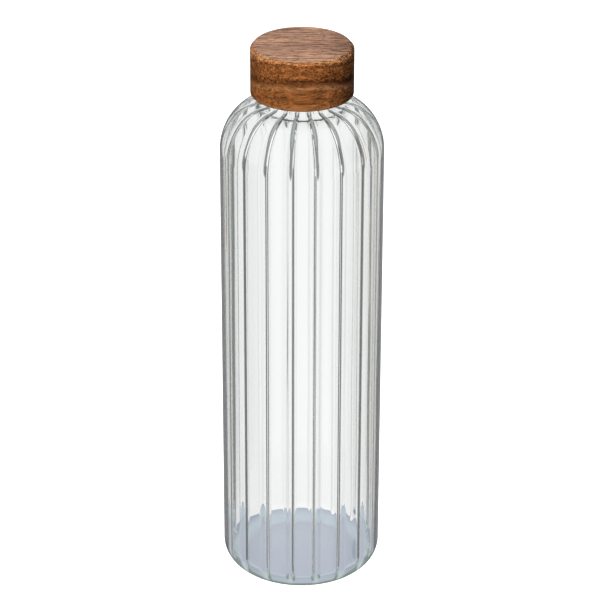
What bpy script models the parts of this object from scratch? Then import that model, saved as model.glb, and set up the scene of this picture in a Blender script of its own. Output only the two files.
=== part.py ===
"""Ribbed glass water bottle with a turned wooden screw cap.

Frame: metres, +Z up along the bottle's axis, origin on the axis at the plane the bottle stands on.
Four pieces: the one-piece glass bottle with its threaded neck, the wooden cap, the threaded plastic
liner glued into the cap, and the silicone ring that seals against the rim. The cap, the liner and
the ring hang on one empty on the axis, because they leave the bottle together.
"""
import math

import bmesh
import bpy

# Glass body
BODY_DIAMETER = 0.0800
WALL = 0.0025                    # body wall between two ribs
STRAIGHT_TOP = 0.2298            # height at which the wall starts to curve in
SHOULDER_HEIGHT = 0.0249
BASE_CORNER = 0.0105             # outer radius between the wall and the underside
INNER_CORNER = 0.0080
BASE_THICKNESS = 0.0035
FOOT_WIDTH = 0.0055              # flat ring that the bottle stands on
PUSH_UP = 0.0012                 # how far the underside rises inside that ring

# Ribs on the inside of the wall
RIB_COUNT = 18
RIB_PHASE = math.radians(-98.3)  # polar angle of the first rib
RIB_HALF_ANGLE = math.radians(4.3)
RIB_DEPTH = 0.0014
NECK_RIB_DEPTH = 0.0007
RIB_FOOT = 0.0050                # height over the inner corner where a rib reaches its full depth
RIB_CORNER_SHARE = 0.5           # part of its depth that a rib has left where the inner corner starts

# Neck
NECK_DIAMETER = 0.0356
NECK_WALL = 0.0023
NECK_HEIGHT = 0.0194             # shoulder top to rim
NECK_FILLET = 0.0030
RIM_ROUND = 0.0009

# Thread on the neck and in the liner
THREAD_LEAD = 0.0060             # rise in one turn
THREAD_DEPTH = 0.0014
THREAD_BASE_WIDTH = 0.0026
THREAD_CREST_WIDTH = 0.0013
THREAD_START = 0.0028            # cap's lower edge to the middle of the ridge's first point
THREAD_END_MARGIN = 0.0044       # rim to the middle of the ridge's last point
THREAD_FLANK_GAP = 0.00035
THREAD_CLEARANCE = 0.0004        # crest to the other piece's root, all round
THREAD_EMBED = 0.0004            # how deep a ridge is rooted in its wall
THREAD_FADE = math.radians(40)   # arc over which a ridge's end runs out
THREAD_END_SHARE = 0.15          # part of its depth that a ridge has left at its very end
THREAD_STEPS_PER_TURN = 28

# Cap, liner and seal
CAP_WALL = 0.0038
CAP_TOP = 0.0062
CAP_REVEAL = 0.0047              # shoulder top to the cap's lower edge
CAP_CHAMFER_WIDTH = 0.0016
CAP_CHAMFER_HEIGHT = 0.0019
CAP_EDGE_BREAK = 0.0004
LINER_WALL = 0.0013
LINER_TOP = 0.0013
LINER_RECESS = 0.0008            # the liner ends this far inside the cap
SEAL_THICKNESS = 0.0015
SEAL_OVERHANG = 0.0009           # the ring's hole is this much narrower than the mouth
GLUE_GAP = 0.0003
SEAL_GAP = 0.0003

# Faceting and shading
SHARP_ANGLE = math.radians(35)   # an edge sharper than this isn't shaded smooth
TURNED_STEPS = 64
DOME_ROWS = 7
CORNER_ROWS = 3

# Values that follow from the ones above
body_radius = BODY_DIAMETER / 2
inner_radius = body_radius - WALL
neck_radius = NECK_DIAMETER / 2
bore_radius = neck_radius - NECK_WALL
shoulder_top = STRAIGHT_TOP + SHOULDER_HEIGHT
rim_height = shoulder_top + NECK_HEIGHT
crest_radius = neck_radius + THREAD_DEPTH
liner_bore = crest_radius + THREAD_CLEARANCE
liner_radius = liner_bore + LINER_WALL
liner_crest = neck_radius + THREAD_CLEARANCE
cap_bore = liner_radius + GLUE_GAP
cap_radius = cap_bore + CAP_WALL
cap_bottom = shoulder_top + CAP_REVEAL
seal_bottom = rim_height + SEAL_GAP
liner_roof = seal_bottom + SEAL_THICKNESS + SEAL_GAP
cap_roof = liner_roof + LINER_TOP + GLUE_GAP
cap_top = cap_roof + CAP_TOP
rib_pitch = 2 * math.pi / RIB_COUNT


def clear_scene():
    for item in list(bpy.data.objects):
        bpy.data.objects.remove(item, do_unlink=True)


def make_material(name, color, roughness, transmission=0.0, ior=1.5):
    """A Principled material with one plain colour."""
    material = bpy.data.materials.new(name)
    material.use_nodes = True
    shader = material.node_tree.nodes["Principled BSDF"]
    shader.inputs["Base Color"].default_value = (*color, 1.0)
    shader.inputs["Roughness"].default_value = roughness
    shader.inputs["Metallic"].default_value = 0.0
    shader.inputs["Transmission Weight"].default_value = transmission
    shader.inputs["IOR"].default_value = ior
    return material


def add_object(name, bm, material=None, parent=None, location=(0.0, 0.0, 0.0)):
    """Turns a bmesh into a named object, shaded smooth away from its sharp edges."""
    bmesh.ops.recalc_face_normals(bm, faces=bm.faces[:])
    mesh = bpy.data.meshes.new(name)
    bm.to_mesh(mesh)
    bm.free()
    mesh.shade_smooth()
    mesh.set_sharp_from_angle(angle=SHARP_ANGLE)
    item = bpy.data.objects.new(name, mesh)
    bpy.context.scene.collection.objects.link(item)
    item.location = location
    item.parent = parent
    if material:
        mesh.materials.append(material)
    return item


def arc(center_radius, center_height, radius_x, radius_z, start, end, steps, skip_first=False):
    """Points of an elliptical arc in the radius-height plane, from start to end degrees."""
    first = 1 if skip_first else 0
    angles = [math.radians(start + (end - start) * step / steps) for step in range(first, steps + 1)]
    return [(center_radius + radius_x * math.cos(a), center_height + radius_z * math.sin(a)) for a in angles]


def dome_height(radius):
    """Height of the shoulder's outer ellipse at a radius."""
    share = (radius - neck_radius) / (body_radius - neck_radius)
    return STRAIGHT_TOP + SHOULDER_HEIGHT * math.sqrt(1 - share ** 2)


def underside_height(radius):
    """Height of the pushed-up underside, which is level with the foot at the foot's inner edge."""
    edge = body_radius - BASE_CORNER - FOOT_WIDTH
    return PUSH_UP * (1 - min(radius / edge, 1.0) ** 2)


def fillet_center():
    """Centre of the fillet between the shoulder and the neck, in the radius-height plane."""
    radius = neck_radius + NECK_FILLET
    return radius, dome_height(radius) + NECK_FILLET


def outer_profile():
    """The glass's outer side from the underside's middle up to the rim, as radius and height."""
    foot_outer = body_radius - BASE_CORNER
    foot_inner = foot_outer - FOOT_WIDTH
    fillet_radius, fillet_height = fillet_center()
    dome_end = math.degrees(math.acos(NECK_FILLET / (body_radius - neck_radius)))
    half_way = foot_inner / 2
    points = [(half_way, underside_height(half_way)), (foot_inner, 0.0)]
    points += arc(foot_outer, BASE_CORNER, BASE_CORNER, BASE_CORNER, -90, 0, CORNER_ROWS)
    points += arc(neck_radius, STRAIGHT_TOP, body_radius - neck_radius, SHOULDER_HEIGHT, 0, dome_end, DOME_ROWS)
    points += arc(fillet_radius, fillet_height, NECK_FILLET, NECK_FILLET, 270, 180, 2, skip_first=True)
    points += arc(neck_radius - RIM_ROUND, rim_height - RIM_ROUND, RIM_ROUND, RIM_ROUND, 0, 90, 2)
    return points


def inner_profile():
    """The glass's inner side from the rim down to the floor, as radius, height and rib depth."""
    fillet_radius, fillet_height = fillet_center()
    inner_fillet = NECK_FILLET + NECK_WALL
    dome_rise = fillet_height - inner_fillet - STRAIGHT_TOP
    floor_edge = inner_radius - INNER_CORNER
    floor = BASE_THICKNESS + underside_height(floor_edge)
    corner_top = floor + INNER_CORNER
    rim = arc(bore_radius + RIM_ROUND, rim_height - RIM_ROUND, RIM_ROUND, RIM_ROUND, 90, 180, 2)
    neck = arc(fillet_radius, fillet_height, inner_fillet, inner_fillet, 180, 270, 3)
    dome = arc(fillet_radius, STRAIGHT_TOP, inner_radius - fillet_radius, dome_rise, 90, 0, DOME_ROWS, True)
    corner = arc(floor_edge, corner_top, INNER_CORNER, INNER_CORNER, 0, -90, CORNER_ROWS)
    half_floor = floor_edge / 2
    points = [(radius, height, 0.0) for radius, height in rim]
    points += [(radius, height, NECK_RIB_DEPTH) for radius, height in neck]
    points += [(radius, height, RIB_DEPTH) for radius, height in dome]
    points.append((inner_radius, corner_top + RIB_FOOT, RIB_DEPTH))
    for radius, height in corner:
        points.append((radius, height, RIB_DEPTH * RIB_CORNER_SHARE * (height - floor) / INNER_CORNER))
    points.append((half_floor, BASE_THICKNESS + underside_height(half_floor), 0.0))
    return points


def rib_columns():
    """Angle and share of the rib's depth for each mesh column: two flanks, a crest and a valley."""
    columns = []
    for rib in range(RIB_COUNT):
        middle = RIB_PHASE + rib * rib_pitch
        columns.append((middle - RIB_HALF_ANGLE, 0.0))
        columns.append((middle, 1.0))
        columns.append((middle + RIB_HALF_ANGLE, 0.0))
        columns.append((middle + rib_pitch / 2, 0.0))
    return columns


def add_ring(bm, columns, radius, height, depth):
    """One level row of vertices, pushed inwards by the rib depth where the ribs are."""
    ring = []
    for angle, share in columns:
        reach = radius - depth * share
        ring.append(bm.verts.new((reach * math.cos(angle), reach * math.sin(angle), height)))
    return ring


def join_rings(bm, first, second):
    """Quads between two closed rings with the same number of vertices."""
    for index in range(len(first)):
        after = (index + 1) % len(first)
        bm.faces.new((first[index], first[after], second[after], second[index]))


def close_ring(bm, ring, height):
    """A fan from a ring to a vertex on the axis."""
    hub = bm.verts.new((0.0, 0.0, height))
    for index in range(len(ring)):
        bm.faces.new((ring[index], ring[(index + 1) % len(ring)], hub))


def helix_height(turn_angle, start):
    return start + THREAD_LEAD * turn_angle / (2 * math.pi)


def make_ridge(name, root, crest, start, end):
    """A helical ridge of trapezoid section that runs out at both ends, rooted at one radius."""
    outward = 1.0 if crest > root else -1.0
    sweep = (end - start) / THREAD_LEAD * 2 * math.pi
    steps = max(4, math.ceil(sweep / (2 * math.pi) * THREAD_STEPS_PER_TURN))
    first_angle = helix_angle(start)
    bm = bmesh.new()
    sections = []
    for step in range(steps + 1):
        along = sweep * step / steps
        fade = max(THREAD_END_SHARE, min(1.0, along / THREAD_FADE, (sweep - along) / THREAD_FADE))
        angle = first_angle + along
        middle = helix_height(along, start)
        base = root - outward * THREAD_EMBED
        tip = root + (crest - root) * fade
        base_half = THREAD_BASE_WIDTH / 2
        tip_half = THREAD_CREST_WIDTH / 2
        corners = ((base, -base_half), (tip, -tip_half), (tip, tip_half), (base, base_half))
        place = [(r * math.cos(angle), r * math.sin(angle), middle + z) for r, z in corners]
        sections.append([bm.verts.new(co) for co in place])
    for before, after in zip(sections, sections[1:]):
        join_rings(bm, before, after)
    bm.faces.new(sections[0])
    bm.faces.new(sections[-1])
    ridge = add_object(name, bm)
    ridge.hide_render = True
    ridge.display_type = "WIRE"
    return ridge


def helix_angle(height):
    """Polar angle of the neck's helix where it passes a height."""
    return 2 * math.pi * (height - cap_bottom - THREAD_START) / THREAD_LEAD


def unite(item, tool):
    """Joins a tool's solid to an object with a Boolean."""
    boolean = item.modifiers.new("thread", "BOOLEAN")
    boolean.operation = "UNION"
    boolean.solver = "EXACT"
    boolean.object = tool


def turn_profile(name, points, material, parent=None, location=(0.0, 0.0, 0.0)):
    """Spins a profile of radius and height round the axis. Ends on the axis close by themselves."""
    bm = bmesh.new()
    verts = [bm.verts.new((radius, 0.0, height)) for radius, height in points]
    edges = [bm.edges.new(pair) for pair in zip(verts, verts[1:])]
    if points[0][0] > 0.0:
        edges.append(bm.edges.new((verts[-1], verts[0])))
    bmesh.ops.spin(
        bm, geom=verts + edges, cent=(0.0, 0.0, 0.0), axis=(0.0, 0.0, 1.0),
        angle=2 * math.pi, steps=TURNED_STEPS, use_merge=False, use_duplicate=False,
    )
    bmesh.ops.remove_doubles(bm, verts=bm.verts[:], dist=0.000001)
    return add_object(name, bm, material, parent, location)


def build_glass_bottle():
    """The whole glass: underside, wall, ribs, shoulder and neck, with the thread joined on."""
    columns = rib_columns()
    bm = bmesh.new()
    outer = [add_ring(bm, columns, radius, height, 0.0) for radius, height in outer_profile()]
    inner = [add_ring(bm, columns, radius, height, depth) for radius, height, depth in inner_profile()]
    rings = outer + inner
    for below, above in zip(rings, rings[1:]):
        join_rings(bm, below, above)
    close_ring(bm, rings[0], PUSH_UP)
    close_ring(bm, rings[-1], BASE_THICKNESS + PUSH_UP)
    glass = make_material("clear_glass", (0.93, 0.96, 0.95), 0.0, transmission=1.0, ior=1.47)
    bottle = add_object("glass_bottle", bm, glass)
    first = cap_bottom + THREAD_START
    last = rim_height - THREAD_END_MARGIN
    unite(bottle, make_ridge("neck_thread_tool", neck_radius, crest_radius, first, last))
    return bottle


def build_wood_cap(axis_empty):
    """A turned blank with a chamfered top and a blind hole for the liner."""
    top = cap_top - cap_bottom
    roof = cap_roof - cap_bottom
    points = [
        (0.0, top),
        (cap_radius - CAP_CHAMFER_WIDTH, top),
        (cap_radius, top - CAP_CHAMFER_HEIGHT),
        (cap_radius, CAP_EDGE_BREAK),
        (cap_radius - CAP_EDGE_BREAK, 0.0),
        (cap_bore + CAP_EDGE_BREAK, 0.0),
        (cap_bore, CAP_EDGE_BREAK),
        (cap_bore, roof),
        (0.0, roof),
    ]
    wood = make_material("acacia_wood", (0.33, 0.15, 0.055), 0.5)
    return turn_profile("wood_cap", points, wood, axis_empty)


def build_thread_insert(axis_empty):
    """The plastic liner: a cup glued into the wood, with the thread that grips the neck."""
    bottom = LINER_RECESS
    roof = liner_roof - cap_bottom
    points = [
        (0.0, roof + LINER_TOP),
        (liner_radius, roof + LINER_TOP),
        (liner_radius, bottom),
        (liner_bore, bottom),
        (liner_bore, roof),
        (0.0, roof),
    ]
    plastic = make_material("liner_plastic", (0.80, 0.80, 0.77), 0.45)
    liner = turn_profile("thread_insert", points, plastic, axis_empty)
    overlap = liner_crest - neck_radius
    slope = (THREAD_BASE_WIDTH - THREAD_CREST_WIDTH) / 2 / THREAD_DEPTH
    touching = (THREAD_BASE_WIDTH + THREAD_CREST_WIDTH) / 2 - slope * overlap
    drop = touching + THREAD_FLANK_GAP
    first = cap_bottom + LINER_RECESS + THREAD_BASE_WIDTH / 2 + THREAD_CLEARANCE
    last = rim_height - THREAD_END_MARGIN
    ridge = make_ridge("liner_thread_tool", liner_bore, liner_crest, first, last)
    ridge.rotation_euler = (0.0, 0.0, 2 * math.pi * drop / THREAD_LEAD)
    unite(liner, ridge)
    return liner


def build_seal_ring(axis_empty):
    """The flat silicone ring between the rim and the liner's roof."""
    bottom = seal_bottom - cap_bottom
    hole = bore_radius - SEAL_OVERHANG
    edge = liner_bore - SEAL_GAP
    points = [
        (edge, bottom + SEAL_THICKNESS),
        (edge, bottom),
        (hole, bottom),
        (hole, bottom + SEAL_THICKNESS),
    ]
    silicone = make_material("clear_silicone", (0.78, 0.79, 0.77), 0.35)
    return turn_profile("seal_ring", points, silicone, axis_empty)


def add_axis_empty():
    """The empty that the cap's pieces hang on: it stands on the screw axis at the cap's lower edge."""
    axis_empty = bpy.data.objects.new("cap_axis", None)
    bpy.context.scene.collection.objects.link(axis_empty)
    axis_empty.location = (0.0, 0.0, cap_bottom)
    return axis_empty


def main():
    clear_scene()
    axis_empty = add_axis_empty()
    build_glass_bottle()
    build_wood_cap(axis_empty)
    build_thread_insert(axis_empty)
    build_seal_ring(axis_empty)


main()
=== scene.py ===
"""Ribbed glass water bottle with a turned wooden cap: fine meshes, materials, light and camera.

The add-on's operators make one group of pieces each. Run as a script, the file calls them in order.
All lengths are in metres, in the frame of the loaded model.
"""
import math

import bmesh
import bpy
import numpy as np
from mathutils import Matrix, Vector


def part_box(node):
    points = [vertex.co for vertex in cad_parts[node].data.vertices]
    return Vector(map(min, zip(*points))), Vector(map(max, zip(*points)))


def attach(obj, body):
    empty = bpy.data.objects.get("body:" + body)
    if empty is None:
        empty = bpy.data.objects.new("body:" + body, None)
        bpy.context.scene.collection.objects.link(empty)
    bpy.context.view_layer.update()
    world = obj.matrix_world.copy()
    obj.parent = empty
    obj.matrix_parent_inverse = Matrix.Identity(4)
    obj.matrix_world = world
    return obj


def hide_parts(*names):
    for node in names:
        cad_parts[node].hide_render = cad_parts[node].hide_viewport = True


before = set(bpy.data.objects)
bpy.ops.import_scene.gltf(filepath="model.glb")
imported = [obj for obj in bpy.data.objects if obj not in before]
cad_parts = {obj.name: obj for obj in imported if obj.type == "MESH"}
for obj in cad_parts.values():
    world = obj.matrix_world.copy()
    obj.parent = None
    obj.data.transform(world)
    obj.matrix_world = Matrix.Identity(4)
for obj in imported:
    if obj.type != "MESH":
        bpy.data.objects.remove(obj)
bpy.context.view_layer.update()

bl_info = {
    "name": "Ribbed Glass Bottle",
    "version": (1, 0, 0),
    "blender": (4, 5, 0),
    "location": "View3D > Sidebar > Bottle",
    "description": "Builds a ribbed glass bottle with a wooden screw cap, its liner and its seal",
    "category": "Add Mesh",
}

TURN = 2 * math.pi
MM = 1000.0
WHITE = (1.0, 1.0, 1.0)

# The tree that the cap was cut from, in millimetres: where its pith lies from the cap's axis and under the
# cap's lower edge, how far from the pith the first layer is, and how far all the layers reach.
PITH_Y = -45.0
PITH_DROP = 99.0
FIRST_LAYER = 100.0
LAYER_SPAN = 45.0

# Where the side's layers end and the top's begin, as shares of that reach.
SIDE_LAYERS_END = 0.57
TOP_LAYERS_START = 0.62

# How often each mark of the wood repeats along X, Y and Z, per millimetre. The grain runs along X.
SWAYS = (0.03, 0.05, 0.05)
HEARTS = (0.035, 0.05, 0.05)
PATCHES = (0.05, 0.06, 0.06)
RIPPLES = (0.05, 0.22, 0.22)
STREAKS = (0.06, 0.75, 0.75)
HAIRS = (0.20, 1.7, 1.7)
PORES = (0.36, 1.6, 1.6)
SPECKLES = (0.9, 1.5, 1.5)

# The waves of the drawn glass and the clouds of its tint, per millimetre.
GLASS_WAVES = (0.09, 0.09, 0.012)
GLASS_CLOUDS = (0.03, 0.03, 0.01)

# The studio that the glass sees: directions on the horizon in degrees, the rises between which one level of
# the surroundings gives way to the next, and levels of light.
AWAY = 90.0
TOWARD_CAMERA = 270.0
LOW_HALF = 49.0
BEHIND_LEFT = 135.0
HIGH_HALF = 95.0
SECOND_OPENING = 315.0
CAMERA_HALF = 50.0
DARK_LEVEL = 0.10
SIDE_LEVEL = 0.68
AHEAD_LEVEL = 0.13
AHEAD_INSET = 32.0
FRINGE = 1.0
FLOOR_TO_LOW = (-0.66, -0.56)
LOW_TO_MIDDLE = (-0.36, -0.32)
MIDDLE_TO_HIGH = (-0.18, -0.14)
HIGH_TO_CEILING = (0.25, 0.55)
FLOOR_GLOW = (0.82, 0.88, 0.84)
SCATTERED = (0.14, 0.14, 0.14)
MIRRORED = (0.3, 0.3, 0.3)

# How far the stage's discs lie under the base, so that no two faces meet, and how far the shade reaches out.
FLOOR_DROP = 0.0002
SHADE_DROP = 0.0001
SHADE_MARGIN = 0.008

# Columns of the turned pieces, and the radius of the smallest ring round the middle of a flat face.
CAP_COLUMNS = 256
LINER_COLUMNS = 160
HUB = 0.002

glass_low, glass_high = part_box("glass_bottle")
cap_low, cap_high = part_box("wood_cap")
liner_low, liner_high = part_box("thread_insert")
seal_low, seal_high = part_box("seal_ring")


# ---------------------------------------------------------------- shader graphs


class Socket:
    """An output socket that takes part in arithmetic: each operator adds a Math node."""

    def __init__(self, graph, link):
        self.graph = graph
        self.link = link

    def math(self, operation, *values):
        return self.graph.node("ShaderNodeMath", {"operation": operation}, dict(enumerate(values)))

    def __add__(self, other):
        return self.math("ADD", self, other)

    def __radd__(self, other):
        return self.math("ADD", other, self)

    def __sub__(self, other):
        return self.math("SUBTRACT", self, other)

    def __rsub__(self, other):
        return self.math("SUBTRACT", other, self)

    def __mul__(self, other):
        return self.math("MULTIPLY", self, other)

    def __rmul__(self, other):
        return self.math("MULTIPLY", other, self)

    def __truediv__(self, other):
        return self.math("DIVIDE", self, other)

    def root(self):
        return self.math("SQRT", self)

    def cosine(self):
        return self.math("COSINE", self)

    def angle_from(self, across):
        """The polar angle of a point whose y this is and whose x is given."""
        return self.math("ARCTAN2", self, across)

    def higher(self, other):
        return self.math("MAXIMUM", self, other)

    def lower(self, other):
        return self.math("MINIMUM", self, other)

    def step(self, low, high):
        """A smooth rise from 0 at low to 1 at high, or a fall where low is the higher one."""
        values = {"Value": self, "From Min": low, "From Max": high}
        return self.graph.node("ShaderNodeMapRange", {"interpolation_type": "SMOOTHSTEP"}, values)


class Graph:
    """Adds nodes to a material's or a world's tree."""

    def __init__(self, tree):
        self.tree = tree
        tree.nodes.clear()

    def node(self, kind, settings=None, inputs=None, output=0):
        """One node: its settings are set first, then its sockets get values or links."""
        made = self.tree.nodes.new(kind)
        for key, value in (settings or {}).items():
            if key == "stops":
                self.set_stops(made.color_ramp, value)
            else:
                setattr(made, key, value)
        for key, value in (inputs or {}).items():
            if isinstance(value, Socket):
                self.tree.links.new(value.link, made.inputs[key])
            else:
                made.inputs[key].default_value = value
        return Socket(self, made.outputs[output] if made.outputs else None)

    @staticmethod
    def set_stops(ramp, stops):
        while len(ramp.elements) > 1:
            ramp.elements.remove(ramp.elements[-1])
        ramp.elements[0].position = stops[0][0]
        ramp.elements[0].color = (*stops[0][1], 1.0)
        for place, color in stops[1:]:
            ramp.elements.new(place).color = (*color, 1.0)

    def ramp(self, factor, stops):
        return self.node("ShaderNodeValToRGB", {"stops": stops}, {"Fac": factor})

    def mix(self, factor, first, second, blend="MIX"):
        """Mixes two colours."""
        settings = {"data_type": "RGBA", "blend_type": blend}
        return self.node("ShaderNodeMix", settings, {0: factor, 6: opaque(first), 7: opaque(second)}, 2)

    def place(self):
        """The point on the piece in millimetres, which stays with the piece when it moves."""
        point = self.node("ShaderNodeTexCoord", None, None, 3)
        return self.stretch(point, (MM, MM, MM))

    def parts(self, vector):
        """The x, y and z of a vector."""
        split = self.node("ShaderNodeSeparateXYZ", None, {0: vector})
        return [Socket(self, output) for output in split.link.node.outputs]

    def join(self, x, y, z):
        return self.node("ShaderNodeCombineXYZ", None, {0: x, 1: y, 2: z})

    def stretch(self, vector, scale):
        """A vector with each of its axes multiplied by a number."""
        return self.node("ShaderNodeVectorMath", {"operation": "MULTIPLY"}, {0: vector, 1: scale})

    def noise(self, place, scale, detail=2.0, roughness=0.5):
        """Noise from 0 to 1 with its own scale along each axis, per millimetre."""
        scaled = self.stretch(place, scale)
        values = {"Vector": scaled, "Scale": 1.0, "Detail": detail, "Roughness": roughness}
        return self.node("ShaderNodeTexNoise", None, values)

    def bump(self, height, strength, distance):
        values = {"Height": height, "Strength": strength, "Distance": distance}
        return self.node("ShaderNodeBump", None, values)


def opaque(value):
    """A three-part colour gets its alpha; a socket passes."""
    return value if isinstance(value, Socket) else (*value[:3], 1.0)


def new_material(name):
    material = bpy.data.materials.new(name)
    material.use_nodes = True
    return material, Graph(material.node_tree)


def add_principled(graph, values):
    """Adds the Principled shader with its socket values and connects it to the output."""
    shader = graph.node("ShaderNodeBsdfPrincipled", None, values)
    graph.node("ShaderNodeOutputMaterial", None, {"Surface": shader})


# ---------------------------------------------------------------- mesh helpers


def arc(center_radius, center_height, radius_x, radius_z, start, end, steps):
    """Points of an elliptical arc in the radius-height plane, from start to end degrees."""
    angles = [math.radians(start + (end - start) * step / steps) for step in range(steps + 1)]
    return [
        (center_radius + radius_x * math.cos(angle), center_height + radius_z * math.sin(angle))
        for angle in angles
    ]


def rounded(points, radius, steps=4):
    """A profile with each inner corner of its outline replaced by a small curve."""
    smooth = [points[0]]
    for before, corner, after in zip(points, points[1:], points[2:]):
        corner, before, after = Vector(corner), Vector(before), Vector(after)
        reach = min(radius, (before - corner).length / 2, (after - corner).length / 2)
        start = corner + (before - corner).normalized() * reach
        end = corner + (after - corner).normalized() * reach
        for step in range(steps + 1):
            share = step / steps
            smooth.append(tuple(start.lerp(corner, share).lerp(corner.lerp(end, share), share)))
    smooth.append(points[-1])
    return smooth


def rings_mesh(name, rings, bottom=None, top=None):
    """A closed mesh from rings of points. A hub closes an end, or else the last ring meets the first."""
    count = len(rings[0])
    points = [tuple(point) for ring in rings for point in ring]
    faces = []
    pairs = list(range(len(rings) - 1))
    if bottom is None:
        pairs.append(len(rings) - 1)
    for row in pairs:
        near, far = row * count, (row + 1) % len(rings) * count
        for index in range(count):
            after = (index + 1) % count
            faces.append((near + index, near + after, far + after, far + index))
    for hub, first in ((bottom, 0), (top, (len(rings) - 1) * count)):
        if hub is not None:
            points.append((0.0, 0.0, hub))
            tip = len(points) - 1
            faces += [(first + index, first + (index + 1) % count, tip) for index in range(count)]
    mesh = bpy.data.meshes.new(name)
    mesh.from_pydata(points, [], faces)
    bm = bmesh.new()
    bm.from_mesh(mesh)
    bmesh.ops.recalc_face_normals(bm, faces=bm.faces[:])
    bm.to_mesh(mesh)
    bm.free()
    mesh.shade_smooth()
    return mesh


def turned_rings(profile, columns):
    """A ring of points for each radius and height of a profile."""
    angles = np.linspace(0.0, TURN, columns, endpoint=False)
    return [ring_at(angles, radius, height) for radius, height in profile]


def ring_at(angles, radius, height):
    """A level ring whose radius may change with the angle."""
    radii = np.broadcast_to(radius, angles.shape)
    return np.column_stack((radii * np.cos(angles), radii * np.sin(angles), np.full(len(angles), height)))


def add_piece(mesh, material, body, node):
    """Puts a finished mesh on its body, in the place of a plain node."""
    piece = bpy.data.objects.new(mesh.name, mesh)
    bpy.context.scene.collection.objects.link(piece)
    mesh.materials.clear()
    mesh.materials.append(material)
    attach(piece, body)
    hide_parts(node)
    return piece


def smooth_share(value):
    """Smoothstep of an array held between 0 and 1."""
    held = np.clip(value, 0.0, 1.0)
    return held * held * (3.0 - 2.0 * held)


def ridge_share(angles, height, start, sweep, thread):
    """How much of the thread's depth stands at each angle of a level ring."""
    turns = angles / TURN
    nearest = np.round((height - start) / thread.lead - turns)
    along = (turns + nearest) * TURN
    middle = start + thread.lead * (turns + nearest)
    flank = (thread.base_width - thread.crest_width) / 2
    across = smooth_share((thread.base_width / 2 - np.abs(height - middle)) / flank)
    ends = smooth_share(np.minimum(along, sweep - along) / thread.fade)
    return across * ends


# ---------------------------------------------------------------- settings


def length(name, description, default):
    return bpy.props.FloatProperty(
        name=name, description=description, default=default, unit="LENGTH", subtype="DISTANCE", precision=4
    )


def turn_angle(name, description, degrees):
    return bpy.props.FloatProperty(
        name=name, description=description, default=math.radians(degrees), unit="ROTATION", subtype="ANGLE"
    )


def color(name, description, default):
    return bpy.props.FloatVectorProperty(
        name=name, description=description, default=default, size=3, min=0.0, max=1.0, subtype="COLOR"
    )


class BottleThread(bpy.types.PropertyGroup):
    lead: length("Lead", "Rise in one turn", 0.0060)
    depth: length("Depth", "Root to crest", 0.0014)
    base_width: length("Base width", "Width of the ridge at its root", 0.0026)
    crest_width: length("Crest width", "Width of the ridge at its crest", 0.0013)
    start: length("Start", "Cap's lower edge to the middle of the ridge's first point", 0.0028)
    end_margin: length("End margin", "Rim to the middle of the ridge's last point", 0.0044)
    flank_gap: length("Flank gap", "Gap between the two ridges along the axis", 0.00035)
    clearance: length("Clearance", "Crest to the other piece's root", 0.0004)
    fade: turn_angle("Run-out", "Arc over which a ridge's end runs out", 40)


class BottleGlass(bpy.types.PropertyGroup):
    wall: length("Wall", "Body wall between two ribs", 0.0025)
    straight_top: length("Straight top", "Height at which the wall starts to curve in", 0.2298)
    shoulder_height: length("Shoulder", "Height of the domed shoulder", 0.0249)
    base_corner: length("Base corner", "Outer radius between wall and underside", 0.0105)
    inner_corner: length("Inner corner", "Inner radius between wall and floor", 0.0080)
    base_thickness: length("Base", "Thickness of the floor", 0.0035)
    foot_width: length("Foot", "Width of the flat ring it stands on", 0.0055)
    push_up: length("Push-up", "Rise of the underside inside the foot", 0.0012)
    neck_diameter: length("Neck", "Diameter of the neck at the thread's root", 0.0356)
    neck_wall: length("Neck wall", "Wall of the neck", 0.0023)
    fillet: length("Fillet", "Radius between shoulder and neck", 0.0030)
    rim_round: length("Rim", "Radius of the fire-polished rim", 0.0009)
    rib_count: bpy.props.IntProperty(name="Ribs", description="Ribs inside the wall", default=18, min=3)
    rib_phase: turn_angle("First rib", "Polar angle of the first rib", -98.3)
    rib_half_angle: turn_angle("Rib half width", "Half of the arc that a rib takes on the wall", 4.2)
    rib_spread: bpy.props.FloatProperty(
        name="Rib spread", description="0 keeps a rib's arc up the shoulder, 1 keeps its width", default=0.2
    )
    rib_depth: length("Rib depth", "Height of a rib over the wall", 0.0015)
    neck_rib_depth: length("Neck rib depth", "Height of a rib at the neck's foot", 0.0018)
    tint: color("Tint", "Colour of the clear glass", (0.965, 0.968, 0.968))
    edge_tint: color("Edge tint", "Colour where the glass is thick", (0.97, 0.99, 0.975))
    # Painted shade: a rib's flank seen edge-on is darkened in the glass's colour.
    rib_painted_shade: color("Rib tint", "Colour of a rib's flank seen edge-on", (0.40, 0.42, 0.42))
    # Painted shade of the thick ribs in the shoulder.
    stripe_painted_shade: color("Band tint", "Colour of the thick ribs in the shoulder", (0.15, 0.175, 0.155))
    # Painted shade of the outer side seen edge-on, also the darker edges of the shoulder's thick ribs.
    side_painted_shade: color("Side tint", "Colour of the outer side seen edge-on", (0.06, 0.06, 0.07))
    glow: color("Glow", "Colour of the light that the wall carries inside", (0.106, 0.119, 0.112))
    edge_glow: color("Edge glow", "Colour of the light in the thick corner", (0.80, 1.0, 0.88))
    ior: bpy.props.FloatProperty(name="Index", description="Index of refraction", default=1.47, min=1.0)


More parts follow.
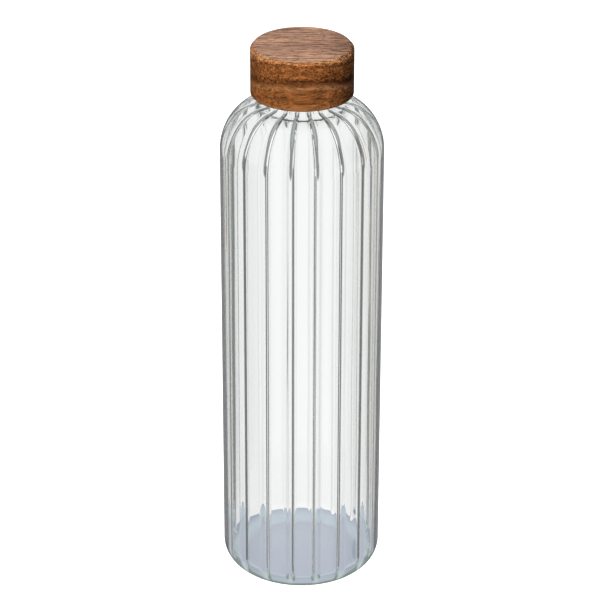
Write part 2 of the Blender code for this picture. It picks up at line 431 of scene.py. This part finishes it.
class BottleWood(bpy.types.PropertyGroup):
    chamfer_width: length("Chamfer width", "Width of the top chamfer", 0.0016)
    chamfer_height: length("Chamfer height", "Height of the top chamfer", 0.0019)
    wall: length("Wall", "Wood round the liner", 0.0038)
    top: length("Top", "Wood over the liner", 0.0062)
    edge_break: length("Edge break", "Small chamfer of the lower edges", 0.0004)
    pale: color("Pale layers", "Pale growth layers", (0.43, 0.215, 0.095))
    main: color("Main layers", "Main colour of the wood", (0.275, 0.096, 0.027))
    warm: color("Warm layers", "Orange-brown growth layers", (0.37, 0.135, 0.040))
    dark: color("Dark layers", "Dark growth layers", (0.085, 0.027, 0.011))
    line: color("Thin lines", "Thin dark lines between layers", (0.16, 0.058, 0.020))
    # The top's layers: their own grain with a painted sheen that makes them paler.
    top_tone_and_sheen: color("Top layers", "Pinkish layers under the top", (0.43, 0.245, 0.158))
    top_deep_and_sheen: color("Deeper top layers", "Darker layers under the top", (0.33, 0.187, 0.128))
    pores: color("Pores", "Open pores in the grain", (0.045, 0.017, 0.009))


class BottleLiner(bpy.types.PropertyGroup):
    wall: length("Wall", "Wall of the liner", 0.0013)
    top: length("Top", "Roof of the liner", 0.0013)
    plastic: color("Plastic", "Colour of the liner", (0.80, 0.80, 0.77))
    silicone: color("Silicone", "Colour of the seal ring", (0.78, 0.79, 0.77))
    seal_overhang: length("Seal overhang", "How much narrower the ring's hole is than the mouth", 0.0009)


class BottleStudio(bpy.types.PropertyGroup):
    distance: length("Distance", "Camera to the point it looks at", 1.4038)
    target_height: length("Target height", "Height of the point the camera looks at", 0.1474)
    pitch: turn_angle("Pitch", "How far the camera looks down", 26.8)
    roll: turn_angle("Roll", "Lean of the camera", 0.13)
    lens: bpy.props.FloatProperty(name="Lens", description="Focal length", default=168.9, unit="CAMERA")
    shift: bpy.props.FloatProperty(name="Shift", description="Sideways shift of the frame", default=-0.0028)
    floor_radius: length("Floor", "Radius of the floor", 6.0)
    floor_color: color("Floor", "Colour of the floor", (0.9, 0.9, 0.9))
    # Colour of the painted shadow that the base shows under it.
    shade_color: color("Shade", "Colour that the base shows of the table under it", (0.325, 0.360, 0.455))


# ---------------------------------------------------------------- glass


def neck_radius(glass):
    return glass.neck_diameter / 2


def body_radius():
    return glass_high.x


def fillet_center(glass):
    """Centre of the fillet between the shoulder and the neck, in the radius-height plane."""
    radius = neck_radius(glass) + glass.fillet
    share = glass.fillet / (body_radius() - neck_radius(glass))
    return radius, glass.straight_top + glass.shoulder_height * math.sqrt(1 - share ** 2) + glass.fillet


def underside_height(glass, radius):
    edge = body_radius() - glass.base_corner - glass.foot_width
    return glass.push_up * (1 - min(radius / edge, 1.0) ** 2)


def glass_outer_profile(glass):
    """The outer side from the underside's middle to the neck's foot."""
    foot_outer = body_radius() - glass.base_corner
    foot_inner = foot_outer - glass.foot_width
    center_radius, center_height = fillet_center(glass)
    dome_width = body_radius() - neck_radius(glass)
    dome_end = math.degrees(math.acos(glass.fillet / dome_width))
    corner, fillet, dome_rise = glass.base_corner, glass.fillet, glass.shoulder_height
    radii = [foot_inner * step / 6 for step in range(1, 7)]
    points = [(radius, underside_height(glass, radius)) for radius in radii]
    points += arc(foot_outer, corner, corner, corner, -90, 0, 12)
    points += arc(neck_radius(glass), glass.straight_top, dome_width, dome_rise, 0, dome_end, 26)
    points += arc(center_radius, center_height, fillet, fillet, 270, 180, 9)[1:]
    return points


def glass_inner_profile(glass):
    """The inner side from the neck's foot to the floor: radius, height and rib depth."""
    center_radius, center_height = fillet_center(glass)
    inner_radius = body_radius() - glass.wall
    inner_fillet = glass.fillet + glass.neck_wall
    dome_rise = center_height - inner_fillet - glass.straight_top
    floor_edge = inner_radius - glass.inner_corner
    floor = glass.base_thickness + underside_height(glass, floor_edge)
    corner_top = floor + glass.inner_corner
    points = []
    for radius, height in arc(center_radius, center_height, inner_fillet, inner_fillet, 180, 270, 12):
        points.append((radius, height, glass.neck_rib_depth))
    dome_width = inner_radius - center_radius
    for radius, height in arc(center_radius, glass.straight_top, dome_width, dome_rise, 90, 0, 32)[1:]:
        rise = ((height - glass.straight_top) / dome_rise) ** 2
        points.append((radius, height, glass.rib_depth + (glass.neck_rib_depth - glass.rib_depth) * rise))
    points.append((inner_radius, corner_top + 0.004, glass.rib_depth))
    for radius, height in arc(floor_edge, corner_top, glass.inner_corner, glass.inner_corner, 0, -90, 14):
        share = (height - floor) / glass.inner_corner
        points.append((radius, height, glass.rib_depth * float(smooth_share(share * 1.6))))
    for step in range(7, 0, -1):
        radius = floor_edge * step / 8
        points.append((radius, glass.base_thickness + underside_height(glass, radius), 0.0))
    return points


def rib_columns(glass):
    """Column angles, closer together on the ribs, and how far each column is from its rib's middle."""
    pitch = TURN / glass.rib_count
    on_rib = np.linspace(-1.0, 1.0, 15) * glass.rib_half_angle
    between = np.linspace(glass.rib_half_angle, pitch - glass.rib_half_angle, 8)[1:-1]
    offsets = np.concatenate((on_rib, between))
    nearest = np.where(offsets > pitch / 2, pitch - offsets, np.abs(offsets))
    starts = glass.rib_phase + pitch * np.arange(glass.rib_count)
    return (starts[:, None] + offsets[None, :]).ravel(), np.tile(nearest, glass.rib_count)


def rib_share(glass, nearest, radius):
    """How much of the rib's depth stands at each column, for a rib that gets narrower up the shoulder."""
    widest = math.pi / glass.rib_count
    half = glass.rib_half_angle * ((body_radius() - glass.wall) / radius) ** glass.rib_spread
    half = min(half, widest)
    return 0.5 + 0.5 * np.cos(np.minimum(nearest / half, 1.0) * math.pi)


def neck_rings(glass, thread, angles, foot):
    """The threaded outer side of the neck, from the fillet to the rim's inner edge."""
    root = neck_radius(glass)
    rim = glass_high.z
    start = cap_low.z + thread.start
    sweep = (rim - thread.end_margin - start) / thread.lead * TURN
    row_height = 0.00022
    rows = int((rim - glass.rim_round - foot) / row_height)
    rings = []
    lip = glass.rim_round
    for height in np.linspace(foot, rim - lip, rows)[1:]:
        ridge = thread.depth * ridge_share(angles % TURN, height, start, sweep, thread)
        rings.append(ring_at(angles, root + ridge, height))
    bore = root - glass.neck_wall
    outer_lip = arc(root - lip, rim - lip, lip, lip, 0, 90, 6)[1:]
    inner_lip = arc(bore + lip, rim - lip, lip, lip, 90, 180, 6)
    return rings + [ring_at(angles, radius, height) for radius, height in outer_lip + inner_lip]


def outer_share(glass, radius, z):
    """1 on the outer side of wall and dome and 0 on the inner side, with how far up the dome a point is."""
    out = (radius / MM - neck_radius(glass)) / (body_radius() - neck_radius(glass))
    rise = (z / MM - glass.straight_top).higher(0.0) / glass.shoulder_height
    return (out * out + rise * rise).step(0.88, 0.95), rise


def rib_band(glass, graph, point, shade):
    """Adds painted shade to the thick ribs from the dome to the neck's foot: a grey-green core with darker
    edges.
    """
    x, y, z = point
    dome = glass.straight_top * MM
    middle = ((y.angle_from(x) - glass.rib_phase) * float(glass.rib_count)).cosine()
    widening = z.step(dome - 7.8, dome + 4.2) * 0.16 + z.step(dome + 10.2, dome + 27.2) * 0.39
    rib = middle + widening * z.step(dome + 36.2, dome + 32.2)
    band = graph.mix(rib.step(1.16, 1.26), glass.side_painted_shade, glass.stripe_painted_shade)
    return graph.mix(rib.step(1.08, 1.13), shade, band)


def glass_material(glass):
    """Clear glass: a faint green in its thick corner, painted shade where seen edge-on and in the shoulder's
    ribs, and slight waves.

    The weak glow stands for the light that the wall carries inside itself.
    """
    material, graph = new_material("ribbed_clear_glass")
    place = graph.place()
    x, y, z = graph.parts(place)
    radius = (x * x + y * y).root()
    clear = graph.mix(graph.noise(place, GLASS_CLOUDS), glass.tint, WHITE)
    thick = z.step(7.0, 1.0) * radius.step(27.0, 36.0)
    shade = graph.mix(thick, clear, glass.edge_tint)
    outside, rise = outer_share(glass, radius, z)
    inside = 1.0 - outside
    above = z.step(2.0, 10.0)
    facing = graph.node("ShaderNodeLayerWeight", None, {"Blend": 0.5}, "Facing")
    # Painted shade: the inner ribs darken where they are seen edge-on.
    shade = graph.mix(facing.step(0.66, 0.90) * inside * above, shade, glass.rib_painted_shade)
    # Painted shade: the outer side darkens where it is seen edge-on.
    edge = facing - rise.lower(1.0) * 0.13
    shade = graph.mix(edge.step(0.69, 0.76) * outside * above, shade, glass.side_painted_shade)
    shade = graph.mix(inside, shade, rib_band(glass, graph, (x, y, z), shade))
    wave = graph.noise(place, GLASS_WAVES, 1.0)
    add_principled(graph, {
        "Base Color": shade,
        "Roughness": 0.0,
        "IOR": glass.ior,
        "Transmission Weight": 1.0,
        "Emission Color": graph.mix(thick, glass.glow, glass.edge_glow),
        "Emission Strength": 0.16,
        "Normal": graph.bump(wave, 0.05, 0.001),
    })
    return material


class BOTTLE_OT_glass(bpy.types.Operator):
    """Makes the glass: ribbed wall, domed shoulder, threaded neck and rounded base in one closed mesh"""

    bl_idname = "bottle.glass"
    bl_label = "Glass Bottle"
    bl_options = {"REGISTER", "UNDO"}

    def execute(self, context):
        glass = context.scene.bottle_glass
        thread = context.scene.bottle_thread
        angles, nearest = rib_columns(glass)
        outer = [ring_at(angles, radius, height) for radius, height in glass_outer_profile(glass)]
        neck = neck_rings(glass, thread, angles, fillet_center(glass)[1])
        inner = [
            ring_at(angles, radius - depth * rib_share(glass, nearest, radius), height)
            for radius, height, depth in glass_inner_profile(glass)
        ]
        floor = glass.base_thickness + glass.push_up
        mesh = rings_mesh("ribbed_glass", outer + neck + inner, bottom=glass.push_up, top=floor)
        piece = add_piece(mesh, glass_material(glass), "bottle", "glass_bottle")
        piece.visible_shadow = False
        piece.visible_diffuse = False
        return {"FINISHED"}


# ---------------------------------------------------------------- wooden cap


def growth_color(graph, layer, wood):
    """The colour of each growth layer, from the cap's lower edge at 0 to the far side of its top at 1; the
    top's layers carry a painted sheen.
    """
    pale, main, dark = tuple(wood.pale), tuple(wood.main), tuple(wood.dark)
    warm, top, deep, line = tuple(wood.warm), tuple(wood.top_tone_and_sheen), tuple(wood.top_deep_and_sheen), tuple(wood.line)
    return graph.ramp(layer, [
        (0.00, warm), (0.04, pale), (0.09, warm), (0.135, warm), (0.150, line), (0.165, warm), (0.23, warm),
        (0.27, pale), (0.30, main), (0.325, dark), (0.345, dark), (0.39, main), (0.46, main), (0.50, warm),
        (0.525, line), (0.545, warm), (0.58, pale), (0.60, top), (0.68, deep), (0.75, top), (0.82, deep),
        (0.90, top), (0.95, deep), (1.00, top),
    ])


def sanded_share(z):
    """1 on the cap's flat top, which is sanded across its layers and shows paler layers with a painted
    sheen, and 0 from the chamfer down.
    """
    top = cap_high.z * MM
    return z.step(top - 0.22, top - 0.08)


def pith_distance(y, z):
    """How far a point is from the middle of the tree."""
    across = y - PITH_Y
    up = z - (cap_low.z * MM - PITH_DROP)
    return (across * across + up * up).root()


def wood_material(wood):
    """Oiled acacia: growth layers round a far pith, streaks and pores along X, grainy dark layers, painted
    shade towards +X and a painted sheen on the top.
    """
    material, graph = new_material("oiled_acacia")
    place = graph.place()
    x, y, z = graph.parts(place)
    sway = graph.noise(place, SWAYS, 1.0) - 0.5
    ripple = graph.noise(place, RIPPLES, 1.0) - 0.5
    heart = graph.noise(place, HEARTS, 1.0) - 0.5
    streak = graph.noise(place, STREAKS, 3.0, 0.6) - 0.5
    hair = graph.noise(place, HAIRS, 2.0, 0.7) - 0.5
    speckle = graph.noise(place, SPECKLES, 2.0, 0.8) - 0.5
    bend = sway * 5.0 + ripple * 1.2 + streak * 3.0 + hair * 1.4
    layer = (pith_distance(y, z) - FIRST_LAYER + bend) / LAYER_SPAN
    sanded = sanded_share(z)
    shown = layer.lower(SIDE_LAYERS_END + sanded).higher(sanded * TOP_LAYERS_START)
    base = growth_color(graph, shown, wood)
    patch = graph.noise(place, PATCHES, 1.0).step(0.42, 0.58)
    faded = (0.34 + patch * 0.12) * x.step(18.0, 2.0)
    base = graph.mix(faded * layer.step(0.55, 0.50), base, wood.main)
    dense = layer.step(0.26, 0.34)
    grain = streak * 2.8 + hair * 2.2 + speckle * (0.9 + dense * (1.0 - sanded) * 3.2)
    # Painted shade: the wood gets darker towards +X, the side turned away from the key light.
    tone = 1.0 + grain + heart * 0.5 - x.step(10.0, 26.0) * 0.5
    toned = graph.mix(1.0, base, tone.higher(0.2), "MULTIPLY")
    pores = graph.noise(place, PORES, 1.0, 0.4).step(0.60, 0.70) * (dense * 0.65 + 0.25)
    relief = streak * 0.3 + hair * 0.4 - pores * 0.9
    add_principled(graph, {
        "Base Color": graph.mix(pores * 0.85, toned, wood.pores),
        "Roughness": 0.46 - streak * 0.2 + pores * 0.2,
        "IOR": 1.48,
        "Specular IOR Level": 0.02,
        "Normal": graph.bump(relief, 0.4, 0.00012),
    })
    return material


class BOTTLE_OT_cap(bpy.types.Operator):
    """Makes the turned wooden cap with its chamfer, its softened edges and the hole for the liner"""

    bl_idname = "bottle.cap"
    bl_label = "Wooden Cap"
    bl_options = {"REGISTER", "UNDO"}

    def execute(self, context):
        wood = context.scene.bottle_wood
        outside = cap_high.x
        bore = outside - wood.wall
        roof = cap_high.z - wood.top
        corners = [
            (HUB, cap_high.z),
            (outside - wood.chamfer_width, cap_high.z),
            (outside, cap_high.z - wood.chamfer_height),
            (outside, cap_low.z + wood.edge_break),
            (outside - wood.edge_break, cap_low.z),
            (bore + wood.edge_break, cap_low.z),
            (bore, cap_low.z + wood.edge_break),
            (bore, roof),
            (HUB, roof),
        ]
        profile = rounded(corners, 0.00035)
        mesh = rings_mesh("turned_wood_cap", turned_rings(profile, CAP_COLUMNS), bottom=cap_high.z, top=roof)
        add_piece(mesh, wood_material(wood), "cap", "wood_cap")
        return {"FINISHED"}


# ---------------------------------------------------------------- liner and seal


def moulded_material(name, shade, roughness, subsurface):
    """A moulded piece with the faint cloudiness and the fine grain of its mould."""
    material, graph = new_material(name)
    place = graph.place()
    cloud = graph.noise(place, (0.12, 0.12, 0.12), 3.0)
    grain = graph.noise(place, (2.0, 2.0, 2.0))
    darker = tuple(channel * 0.9 for channel in shade)
    add_principled(graph, {
        "Base Color": graph.mix(cloud, darker, tuple(shade)),
        "Roughness": roughness + grain * 0.12,
        "IOR": 1.46,
        "Subsurface Weight": subsurface,
        "Subsurface Scale": 0.002,
        "Normal": graph.bump(grain, 0.15, 0.0001),
    })
    return material


def thread_drop(thread):
    """How far the liner's ridge lies under the neck's ridge, flank to flank with the gap."""
    slope = (thread.base_width - thread.crest_width) / 2 / thread.depth
    touching = (thread.base_width + thread.crest_width) / 2 - slope * thread.clearance
    return touching + thread.flank_gap


class BOTTLE_OT_liner(bpy.types.Operator):
    """Makes the threaded liner that is glued into the cap"""

    bl_idname = "bottle.liner"
    bl_label = "Threaded Liner"
    bl_options = {"REGISTER", "UNDO"}

    def execute(self, context):
        liner = context.scene.bottle_liner
        thread = context.scene.bottle_thread
        outside = liner_high.x
        bore = outside - liner.wall
        roof = liner_high.z - liner.top
        angles = np.linspace(0.0, TURN, LINER_COLUMNS, endpoint=False)
        start = cap_low.z + thread.start - thread_drop(thread)
        first = liner_low.z + thread.base_width / 2 + thread.clearance
        last = glass_high.z - thread.end_margin
        turns_before = (first - start) / thread.lead
        sweep = (last - first) / thread.lead * TURN
        outline = [(HUB, liner_high.z), (outside, liner_high.z), (outside, liner_low.z), (bore, liner_low.z)]
        rings = turned_rings(rounded(outline, 0.0003), LINER_COLUMNS)
        for height in np.linspace(liner_low.z + 0.0003, roof - 0.0004, 72):
            along = self.ridge(angles, height, start, turns_before, sweep, thread)
            rings.append(ring_at(angles, bore - thread.depth * along, height))
        rings += turned_rings([(bore - 0.0004, roof), (HUB, roof)], LINER_COLUMNS)
        mesh = rings_mesh("moulded_liner", rings, bottom=liner_high.z, top=roof)
        plastic = moulded_material("liner_plastic", liner.plastic, 0.38, 0.1)
        add_piece(mesh, plastic, "cap", "thread_insert")
        return {"FINISHED"}

    @staticmethod
    def ridge(angles, height, start, turns_before, sweep, thread):
        """The ridge's share, with its first point set a part of a turn along the helix."""
        shifted = (angles - turns_before * TURN) % TURN
        return ridge_share(shifted, height, start + turns_before * thread.lead, sweep, thread)


class BOTTLE_OT_seal(bpy.types.Operator):
    """Makes the silicone ring that the rim presses on, with three raised sealing lines on its underside"""

    bl_idname = "bottle.seal"
    bl_label = "Seal Ring"
    bl_options = {"REGISTER", "UNDO"}

    def execute(self, context):
        glass = context.scene.bottle_glass
        liner = context.scene.bottle_liner
        hole = neck_radius(glass) - glass.neck_wall - liner.seal_overhang
        edge = seal_high.x
        low, high = seal_low.z, seal_high.z
        line = 0.0002
        profile = [(edge, high - line), (edge, low + line)]
        for share in (0.25, 0.5, 0.75):
            middle = edge + (hole - edge) * share
            profile += [(middle + line, low + line), (middle, low), (middle - line, low + line)]
        profile += [(hole, low + line), (hole, high - line), (hole + line, high), (edge - line, high)]
        mesh = rings_mesh("silicone_seal", turned_rings(profile, LINER_COLUMNS))
        silicone = moulded_material("seal_silicone", liner.silicone, 0.3, 0.3)
        add_piece(mesh, silicone, "seal", "seal_ring")
        return {"FINISHED"}


# ---------------------------------------------------------------- studio


def floor_material(studio):
    """A pale lit table top: mostly its own even light, so that it stays white to its edge."""
    material, graph = new_material("studio_floor")
    speck = graph.noise(graph.place(), (0.002, 0.002, 0.002))
    add_principled(graph, {
        "Base Color": graph.mix(speck, tuple(studio.floor_color), (0.94, 0.94, 0.94)),
        "Roughness": 0.8,
        "Emission Color": (1.0, 1.0, 1.0, 1.0),
        "Emission Strength": 1.0,
    })
    return material


def disc(name, radius, height, material):
    """A flat stage disc."""
    mesh = bpy.data.meshes.new(name)
    bm = bmesh.new()
    level = Matrix.Translation((0.0, 0.0, height))
    bmesh.ops.create_circle(bm, cap_ends=True, segments=128, radius=radius, matrix=level)
    bm.to_mesh(mesh)
    bm.free()
    mesh.materials.append(material)
    item = bpy.data.objects.new(name, mesh)
    bpy.context.scene.collection.objects.link(item)
    return item


def studio_world():
    """The light of the room, with dark sides for the glass, at places that change with the height.

    Where the floor ends, the camera sees an even grey.
    """
    world = bpy.data.worlds.new("studio_light")
    world.use_nodes = True
    graph = Graph(world.node_tree)
    x, y, z = graph.parts(graph.node("ShaderNodeTexCoord"))
    low = surround(graph, x, y, ((AWAY, LOW_HALF),))
    middle = surround(graph, x, y, ((AWAY, LOW_HALF), (SECOND_OPENING, LOW_HALF)))
    high = surround(graph, x, y, ((BEHIND_LEFT, HIGH_HALF),))
    shade = graph.mix(z.step(*FLOOR_TO_LOW), FLOOR_GLOW, low)
    shade = graph.mix(z.step(*LOW_TO_MIDDLE), shade, middle)
    shade = graph.mix(z.step(*MIDDLE_TO_HIGH), shade, high)
    shade = graph.mix(z.step(*HIGH_TO_CEILING), shade, WHITE)
    shade = graph.mix(bright_arc(x, y, TOWARD_CAMERA, CAMERA_HALF), shade, WHITE)
    seen = graph.node("ShaderNodeLightPath", None, None, "Is Camera Ray")
    through = graph.node("ShaderNodeLightPath", None, None, "Is Transmission Ray")
    scattered = graph.node("ShaderNodeLightPath", None, None, "Is Diffuse Ray")
    shade = graph.mix(seen, shade, WHITE)
    shade = graph.mix(through, graph.mix(1.0, shade, MIRRORED, "MULTIPLY"), shade)
    shade = graph.mix(scattered, shade, SCATTERED)
    light = graph.node("ShaderNodeBackground", None, {"Color": shade, "Strength": 1.0})
    graph.node("ShaderNodeOutputWorld", None, {"Surface": light})
    bpy.context.scene.world = world


def bright_arc(x, y, middle, half, soft=4.0):
    """1 within half the given arc of a direction on the horizon, and 0 beyond it, in degrees."""
    flat = (x * x + y * y).root()
    toward = x * math.cos(math.radians(middle)) + y * math.sin(math.radians(middle))
    edge_low = math.cos(math.radians(half + soft))
    edge_high = math.cos(math.radians(half - soft))
    return (toward / flat).step(edge_low, edge_high)


def surround(graph, x, y, openings):
    """Bright ahead, a little less at the sides, dark beyond, with the faint colours of a prism's edge."""
    channels = []
    for fringe in (FRINGE, 0.0, -FRINGE):
        side = ahead = 0.0
        for middle, half in openings:
            side = bright_arc(x, y, middle, half + fringe).higher(side)
            ahead = bright_arc(x, y, middle, half - AHEAD_INSET, 12.0).higher(ahead)
        channels.append(DARK_LEVEL + side * SIDE_LEVEL + ahead * AHEAD_LEVEL)
    return graph.join(*channels)


def add_area_light(name, place, target, size, power, tint):
    """A soft rectangular light that faces a point."""
    data = bpy.data.lights.new(name, "AREA")
    data.shape = "RECTANGLE"
    data.size, data.size_y = size
    data.energy = power
    data.color = tint
    light = bpy.data.objects.new(name, data)
    bpy.context.scene.collection.objects.link(light)
    light.location = place
    light.rotation_euler = (Vector(target) - Vector(place)).to_track_quat("-Z", "Y").to_euler()
    light.visible_transmission = False
    light.visible_glossy = False


def direction(azimuth, elevation):
    """A unit vector: azimuth from the front towards +X, elevation from the floor, in degrees."""
    side, rise = math.radians(azimuth), math.radians(elevation)
    return Vector((math.sin(side) * math.cos(rise), -math.cos(side) * math.cos(rise), math.sin(rise)))


def add_camera(studio):
    data = bpy.data.cameras.new("camera")
    data.lens = studio.lens
    data.sensor_width = 36.0
    data.shift_x = studio.shift
    data.dof.use_dof = False
    data.clip_start = 0.05
    data.clip_end = 50.0
    camera = bpy.data.objects.new("camera", data)
    bpy.context.scene.collection.objects.link(camera)
    target = Vector((0.0, 0.0, studio.target_height))
    camera.location = target + studio.distance * direction(0.0, math.degrees(studio.pitch))
    camera.rotation_euler = (math.pi / 2 - studio.pitch, 0.0, 0.0)
    camera.rotation_euler.rotate(Matrix.Rotation(studio.roll, 3, target - camera.location).inverted())
    bpy.context.scene.camera = camera


class BOTTLE_OT_stage(bpy.types.Operator):
    """Makes the pale floor, the painted shadow disc under the base, the studio light and the camera"""

    bl_idname = "bottle.stage"
    bl_label = "Studio"
    bl_options = {"REGISTER", "UNDO"}

    def execute(self, context):
        studio = context.scene.bottle_studio
        floor = disc("studio_floor", studio.floor_radius, -FLOOR_DROP, floor_material(studio))
        floor.visible_transmission = False
        floor.visible_glossy = False
        floor.visible_diffuse = False
        # Painted shadow: a blue-grey glowing disc under the base, seen only through the glass, stands for
        # the shade under the bottle.
        shade, graph = new_material("painted_shadow_under_base")
        add_principled(graph, {
            "Base Color": (0.0, 0.0, 0.0, 1.0),
            "Roughness": 1.0,
            "Specular IOR Level": 0.0,
            "Emission Color": opaque(tuple(studio.shade_color)),
            "Emission Strength": 1.0,
        })
        under = disc("painted_shadow_under_base", body_radius() + SHADE_MARGIN, -SHADE_DROP, shade)
        under.visible_camera = False
        under.visible_diffuse = False
        under.visible_shadow = False
        under.visible_glossy = False
        studio_world()
        target = Vector((0.0, 0.0, cap_low.z))
        key = target + 1.5 * direction(-25.0, 25.0)
        top = target + 1.5 * direction(60.0, 78.0)
        add_area_light("key_light", key, target, (0.5, 0.5), 17.0, (1.0, 0.98, 0.96))
        add_area_light("top_light", top, target, (0.6, 0.6), 16.0, (0.97, 0.98, 1.0))
        add_camera(studio)
        scene = context.scene
        scene.view_settings.view_transform = "Standard"
        scene.view_settings.look = "None"
        return {"FINISHED"}


# ---------------------------------------------------------------- add-on


class BOTTLE_PT_panel(bpy.types.Panel):
    """Lists the bottle's operators with their settings."""

    bl_label = "Ribbed Bottle"
    bl_space_type = "VIEW_3D"
    bl_region_type = "UI"
    bl_category = "Bottle"

    def draw(self, context):
        for operator, group in PANEL_ROWS:
            box = self.layout.box()
            box.operator(operator)
            settings = getattr(context.scene, group)
            for key in settings.__annotations__:
                box.prop(settings, key)


PANEL_ROWS = (
    ("bottle.glass", "bottle_glass"),
    ("bottle.cap", "bottle_wood"),
    ("bottle.liner", "bottle_liner"),
    ("bottle.seal", "bottle_thread"),
    ("bottle.stage", "bottle_studio"),
)

SETTINGS = {
    "bottle_thread": BottleThread,
    "bottle_glass": BottleGlass,
    "bottle_wood": BottleWood,
    "bottle_liner": BottleLiner,
    "bottle_studio": BottleStudio,
}

OPERATORS = (BOTTLE_OT_glass, BOTTLE_OT_cap, BOTTLE_OT_liner, BOTTLE_OT_seal, BOTTLE_OT_stage)


def register():
    for group in (*SETTINGS.values(), *OPERATORS, BOTTLE_PT_panel):
        bpy.utils.register_class(group)
    for name, group in SETTINGS.items():
        setattr(bpy.types.Scene, name, bpy.props.PointerProperty(type=group))


def unregister():
    for name in SETTINGS:
        delattr(bpy.types.Scene, name)
    for group in (BOTTLE_PT_panel, *OPERATORS, *SETTINGS.values()):
        bpy.utils.unregister_class(group)


def write_sizes():
    """Updates the view layer."""
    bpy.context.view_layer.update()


def main():
    register()
    bpy.ops.bottle.glass()
    bpy.ops.bottle.cap()
    bpy.ops.bottle.liner()
    bpy.ops.bottle.seal()
    bpy.ops.bottle.stage()
    write_sizes()


if __name__ == "__main__":
    main()
